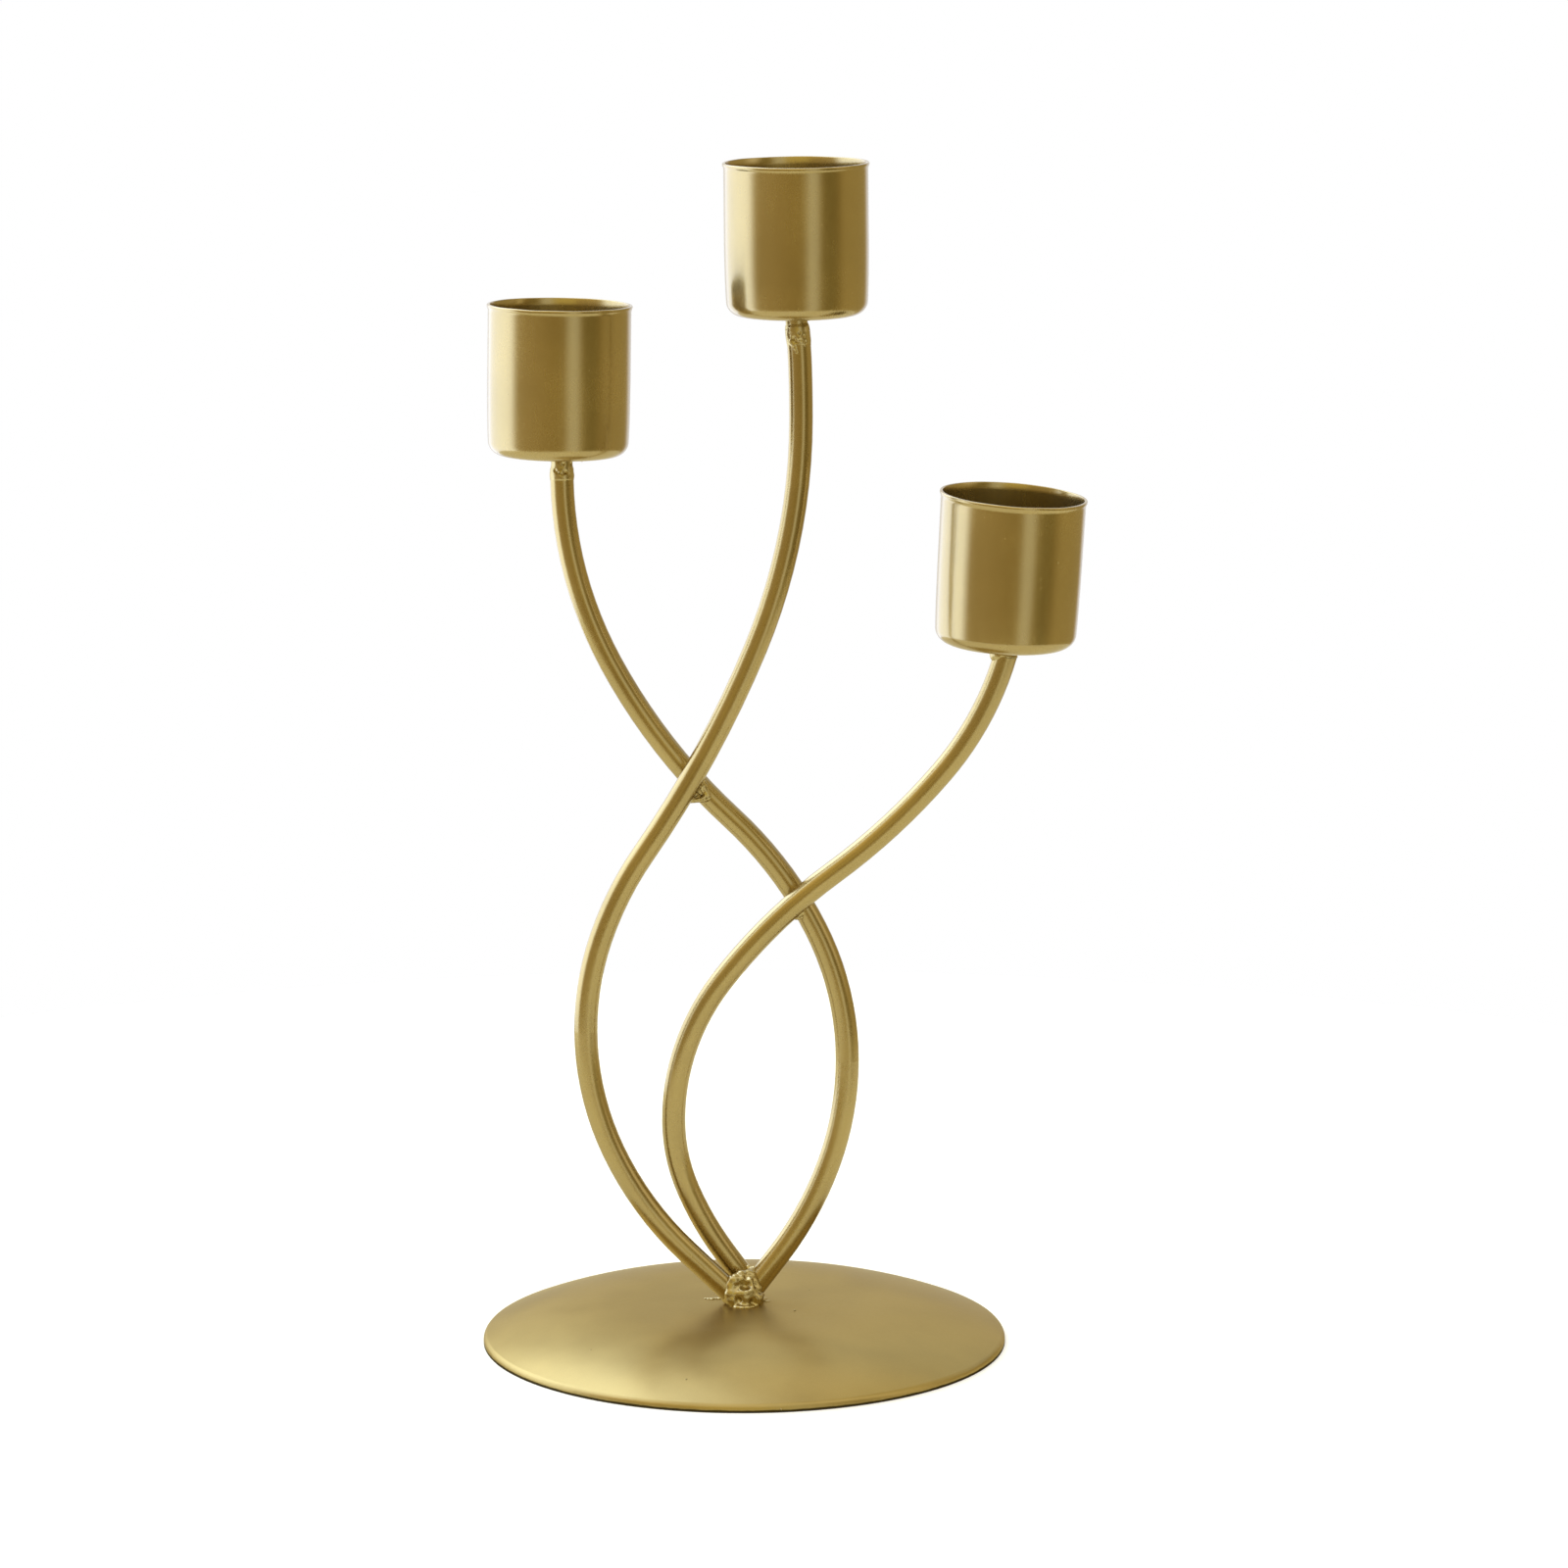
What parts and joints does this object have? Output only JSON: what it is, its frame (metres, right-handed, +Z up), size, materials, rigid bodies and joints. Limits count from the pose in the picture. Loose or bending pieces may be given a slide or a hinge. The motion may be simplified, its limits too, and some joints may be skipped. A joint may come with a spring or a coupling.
{
  "type": "candelabra",
  "caption": "Wire candelabra: bent arms twine up from a low domed round base, welded where they cross, each under an open cup for a taper candle at its own height.",
  "frame": {"origin": "middle of the round base, on the table", "axes": "+Z up, +X to the right as the picture shows it, +Y away from the viewer"},
  "size_m": [0.1026, 0.09, 0.2027],
  "materials": {
    "base_gold": "satin gold paint on pressed steel sheet",
    "wire_gold": "semi-gloss gold paint on steel wire",
    "cup_gold": "semi-gloss gold paint on drawn steel",
    "weld_gold": "rough weld under gold paint"
  },
  "bodies": {
    "root": {"base_plate": "base_gold", "base_weld": "weld_gold", "left_arm": "wire_gold", "centre_arm": "wire_gold", "right_arm": "wire_gold", "left_cup": "cup_gold", "centre_cup": "cup_gold", "right_cup": "cup_gold", "left_cup_weld": "weld_gold", "centre_cup_weld": "weld_gold", "right_cup_weld": "weld_gold", "upper_crossing_weld": "weld_gold", "lower_crossing_weld": "weld_gold"}
  },
  "joints": []
}
